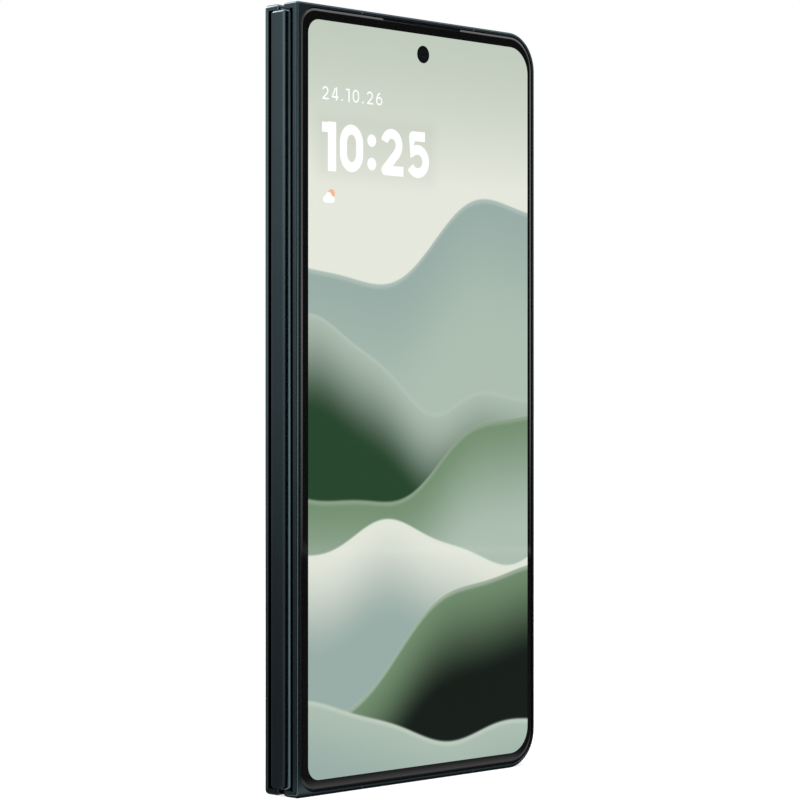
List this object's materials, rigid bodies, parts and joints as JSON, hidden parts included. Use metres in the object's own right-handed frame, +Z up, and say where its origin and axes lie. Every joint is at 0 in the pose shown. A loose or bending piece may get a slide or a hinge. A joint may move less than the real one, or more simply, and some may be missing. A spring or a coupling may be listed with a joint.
{
  "type": "foldable smartphone",
  "caption": "Book-style foldable smartphone, folded shut, with an outer display, a folding inner display, a geared hinge spine, a camera island and sprung side buttons.",
  "frame": {"origin": "centre of the folded phone's footprint, on the plane of its bottom edge", "axes": "+Z up the phone, +X from the spine to the free edge, -Y out of the outer display, +Y out of the cameras"},
  "size_m": [0.0732, 0.0116, 0.16],
  "materials": {
    "frame_metal": "dark teal-grey anodised satin with a soft gloss",
    "camera_trim": "polished dark metal",
    "hinge_steel": "satin",
    "support_alloy": "matt",
    "back_glass": "frosted dark glass",
    "cover_glass": "gloss black at the border, clear over the display",
    "display_panel": "lit display, soft green abstract picture",
    "inner_display": "gloss black foldable film",
    "lens_black": "deep gloss lens",
    "flash_diffuser": "frosted",
    "black_plastic": "matt",
    "antenna_resin": "satin",
    "battery_pouch": "satin foil",
    "circuit_board": "solder mask",
    "copper": "enamelled copper",
    "flex_ribbon": "polyimide film"
  },
  "bodies": {
    "hinge_spine": {"hinge_cover": "frame_metal", "hinge_base": "hinge_steel", "pivot_pins": "hinge_steel", "idler_pins": "hinge_steel", "spine_screws": "hinge_steel", "inner_display_fold": "inner_display", "hinge_flex": "flex_ribbon"},
    "rear_half": {"rear_frame": "frame_metal", "back_panel": "back_glass", "rear_bezel_trim": "black_plastic", "inner_display_rear": "inner_display", "rear_support_plate": "support_alloy", "rear_hinge_arms": "hinge_steel", "rear_arm_screws": "hinge_steel", "rear_battery": "battery_pouch", "main_board": "circuit_board", "board_shield": "hinge_steel", "charging_coil": "copper", "loudspeaker": "black_plastic", "haptic_motor": "hinge_steel", "usb_port": "hinge_steel", "button_switches": "hinge_steel", "camera_island": "frame_metal", "camera_rings": "camera_trim", "camera_lenses": "lens_black", "camera_modules": "black_plastic", "flash_lens": "flash_diffuser", "rear_antenna_breaks": "antenna_resin", "rear_magnets": "hinge_steel"},
    "cover_half": {"cover_frame": "frame_metal", "cover_glass": "cover_glass", "cover_display": "display_panel", "cover_bezel_trim": "black_plastic", "cover_support_plate": "support_alloy", "cover_hinge_arms": "hinge_steel", "cover_arm_screws": "hinge_steel", "cover_battery": "battery_pouch", "cover_board": "circuit_board", "cover_antenna_breaks": "antenna_resin", "cover_magnets": "hinge_steel", "front_camera": "lens_black", "earpiece_mesh": "black_plastic", "earpiece_speaker": "black_plastic", "inner_display_cover": "inner_display", "inner_camera": "lens_black"},
    "power_button_body": {"power_button": "frame_metal"},
    "volume_rocker_body": {"volume_rocker": "frame_metal"},
    "card_tray_body": {"card_tray": "frame_metal"},
    "idler_bottom_rear_body": {"idler_bottom_rear": "hinge_steel"},
    "idler_bottom_cover_body": {"idler_bottom_cover": "hinge_steel"},
    "idler_top_rear_body": {"idler_top_rear": "hinge_steel"},
    "idler_top_cover_body": {"idler_top_cover": "hinge_steel"}
  },
  "joints": [
    {"name": "rear_fold", "type": "hinge", "parent": "hinge_spine", "child": "rear_half", "pos_m": [-0.0346, 0.00042, 0.08], "axis": [0, 0, 1], "range_deg": [0, 90], "deforming": ["inner_display_fold", "hinge_flex"]},
    {"name": "cover_fold", "type": "hinge", "parent": "hinge_spine", "child": "cover_half", "pos_m": [-0.0346, -0.00222, 0.08], "axis": [0, 0, 1], "range_deg": [-90, 0]},
    {"name": "idler_bottom_rear_spin", "type": "hinge", "parent": "hinge_spine", "child": "idler_bottom_rear_body", "pos_m": [-0.03538, -0.00035, 0.08], "axis": [0, 0, 1], "range_deg": [-90, 0]},
    {"name": "idler_bottom_cover_spin", "type": "hinge", "parent": "hinge_spine", "child": "idler_bottom_cover_body", "pos_m": [-0.03538, -0.00145, 0.08], "axis": [0, 0, 1], "range_deg": [0, 90]},
    {"name": "idler_top_rear_spin", "type": "hinge", "parent": "hinge_spine", "child": "idler_top_rear_body", "pos_m": [-0.03538, -0.00035, 0.08], "axis": [0, 0, 1], "range_deg": [-90, 0]},
    {"name": "idler_top_cover_spin", "type": "hinge", "parent": "hinge_spine", "child": "idler_top_cover_body", "pos_m": [-0.03538, -0.00145, 0.08], "axis": [0, 0, 1], "range_deg": [0, 90]},
    {"name": "power_press", "type": "slide", "parent": "rear_half", "child": "power_button_body", "axis": [-1, 0, 0], "range_m": [0, 0.00025], "stiffness_N_per_m": 3000},
    {"name": "volume_press", "type": "slide", "parent": "rear_half", "child": "volume_rocker_body", "axis": [-1, 0, 0], "range_m": [0, 0.00025], "stiffness_N_per_m": 3000},
    {"name": "card_tray_slide", "type": "slide", "parent": "rear_half", "child": "card_tray_body", "axis": [0, 0, -1], "range_m": [0, 0.014]}
  ],
  "couplings": [
    {"joint": "cover_fold", "follows": "rear_fold", "ratio": -1},
    {"joint": "idler_bottom_rear_spin", "follows": "rear_fold", "ratio": -1},
    {"joint": "idler_bottom_cover_spin", "follows": "rear_fold", "ratio": 1},
    {"joint": "idler_top_rear_spin", "follows": "rear_fold", "ratio": -1},
    {"joint": "idler_top_cover_spin", "follows": "rear_fold", "ratio": 1}
  ]
}
